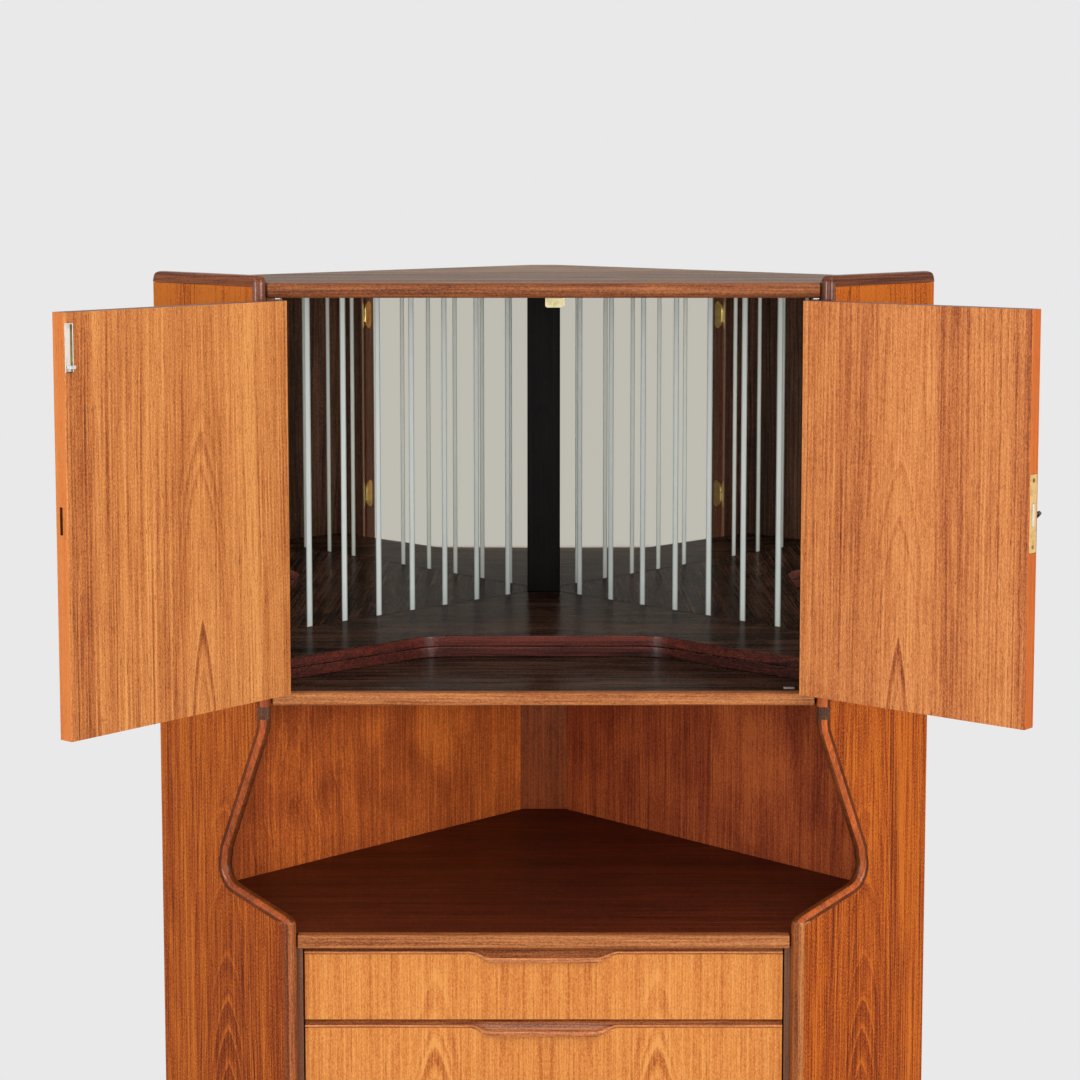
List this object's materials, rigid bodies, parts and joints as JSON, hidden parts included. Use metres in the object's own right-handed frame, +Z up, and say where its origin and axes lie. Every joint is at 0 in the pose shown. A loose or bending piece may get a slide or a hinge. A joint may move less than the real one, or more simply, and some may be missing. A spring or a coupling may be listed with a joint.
{
  "type": "corner bar cabinet",
  "caption": "Corner bar cabinet: a mirror-lined cupboard with hinged doors over an open display niche and a bank of drawers with recessed finger pulls, on a set-back plinth.",
  "frame": {"origin": "on the floor under the middle bearer of the plinth, on the plane of symmetry of the case", "axes": "+Z up, -Y out of the front towards the room, +Y towards the room corner behind, +X to the right seen from the front"},
  "size_m": [1.0633, 0.8556, 1.34],
  "materials": {
    "teak_veneer": "satin oiled veneer",
    "teak_solid": "satin solid edging",
    "teak_front": "satin oiled veneer, golden",
    "worktop_wood": "dark red-brown lacquer, semi-gloss",
    "bar_wood": "dark rosewood veneer, glossy lacquer",
    "black_strip": "black stained, semi-gloss",
    "plywood": "raw",
    "beech": "raw",
    "mirror_glass": "polished, with frosted stripes",
    "brass": "worn, lacquered",
    "steel": "nickelled, worn"
  },
  "bodies": {
    "cabinet": {"side_panel_left": "teak_veneer", "side_panel_right": "teak_veneer", "niche_corner_strip": "teak_veneer", "bar_floor_lipping": "teak_veneer", "worktop_lipping": "teak_veneer", "side_lipping_left": "teak_solid", "side_lipping_right": "teak_solid", "top_board": "teak_solid", "top_lipping": "teak_solid", "hinge_jamb_left": "teak_solid", "hinge_jamb_right": "teak_solid", "drawer_partition_left": "teak_solid", "drawer_partition_right": "teak_solid", "plinth_front": "teak_solid", "plinth_left": "teak_solid", "plinth_right": "teak_solid", "worktop": "worktop_wood", "bar_floor": "bar_wood", "platform_lower": "bar_wood", "platform_upper": "bar_wood", "bar_corner_strip": "black_strip", "back_panel_left": "plywood", "back_panel_right": "plywood", "bottom_board": "beech", "plinth_bearer": "beech", "mirror_left": "mirror_glass", "mirror_right": "mirror_glass", "strike_bracket": "brass", "hinge_left_lower_fixed": "brass", "hinge_left_upper_fixed": "brass", "hinge_right_lower_fixed": "brass", "hinge_right_upper_fixed": "brass"},
    "door_left": {"door_left": "teak_veneer", "hinge_left_lower_moving": "brass", "hinge_left_upper_moving": "brass", "slide_bolt_channel": "steel"},
    "slide_bolt": {"slide_bolt": "steel"},
    "door_right": {"door_right": "teak_veneer", "hinge_right_lower_moving": "brass", "hinge_right_upper_moving": "brass", "lock_case": "brass"},
    "lock_bolt": {"lock_bolt": "steel"},
    "key": {"key": "steel"},
    "drawer_1": {"drawer_1_front": "teak_front", "drawer_1_pull": "teak_veneer", "drawer_1_box": "beech", "drawer_1_bottom": "plywood"},
    "drawer_2": {"drawer_2_front": "teak_front", "drawer_2_pull": "teak_veneer", "drawer_2_box": "beech", "drawer_2_bottom": "plywood"},
    "drawer_3": {"drawer_3_front": "teak_front", "drawer_3_pull": "teak_veneer", "drawer_3_box": "beech", "drawer_3_bottom": "plywood"},
    "drawer_4": {"drawer_4_front": "teak_front", "drawer_4_pull": "teak_veneer", "drawer_4_box": "beech", "drawer_4_bottom": "plywood"}
  },
  "joints": [
    {"name": "door_left_hinge", "type": "hinge", "parent": "cabinet", "child": "door_left", "pos_m": [-0.3109, -0.2842, 1.0825], "axis": [0, 0, -1], "range_deg": [-130.1, 34]},
    {"name": "door_right_hinge", "type": "hinge", "parent": "cabinet", "child": "door_right", "pos_m": [0.3109, -0.2842, 1.0825], "axis": [0, 0, 1], "range_deg": [-140.4, 24]},
    {"name": "slide_bolt_travel", "type": "slide", "parent": "door_left", "child": "slide_bolt", "axis": [0, 0, 1], "range_m": [0, 0.008]},
    {"name": "key_turn", "type": "hinge", "parent": "door_right", "child": "key", "pos_m": [0.52535, -0.4655, 1.0834], "axis": [-0.6374, -0.7705, 0], "range_deg": [0, 90]},
    {"name": "lock_bolt_travel", "type": "slide", "parent": "door_right", "child": "lock_bolt", "axis": [0.7705, -0.6374, 0], "range_m": [0, 0.008]},
    {"name": "drawer_1_slide", "type": "slide", "parent": "cabinet", "child": "drawer_1", "axis": [0, -1, 0], "range_m": [0, 0.23]},
    {"name": "drawer_2_slide", "type": "slide", "parent": "cabinet", "child": "drawer_2", "axis": [0, -1, 0], "range_m": [0, 0.23]},
    {"name": "drawer_3_slide", "type": "slide", "parent": "cabinet", "child": "drawer_3", "axis": [0, -1, 0], "range_m": [0, 0.23]},
    {"name": "drawer_4_slide", "type": "slide", "parent": "cabinet", "child": "drawer_4", "axis": [0, -1, 0], "range_m": [0, 0.23]}
  ],
  "couplings": [
    {"joint": "key_turn", "follows": "lock_bolt_travel", "rad_per_m": 196.3}
  ]
}
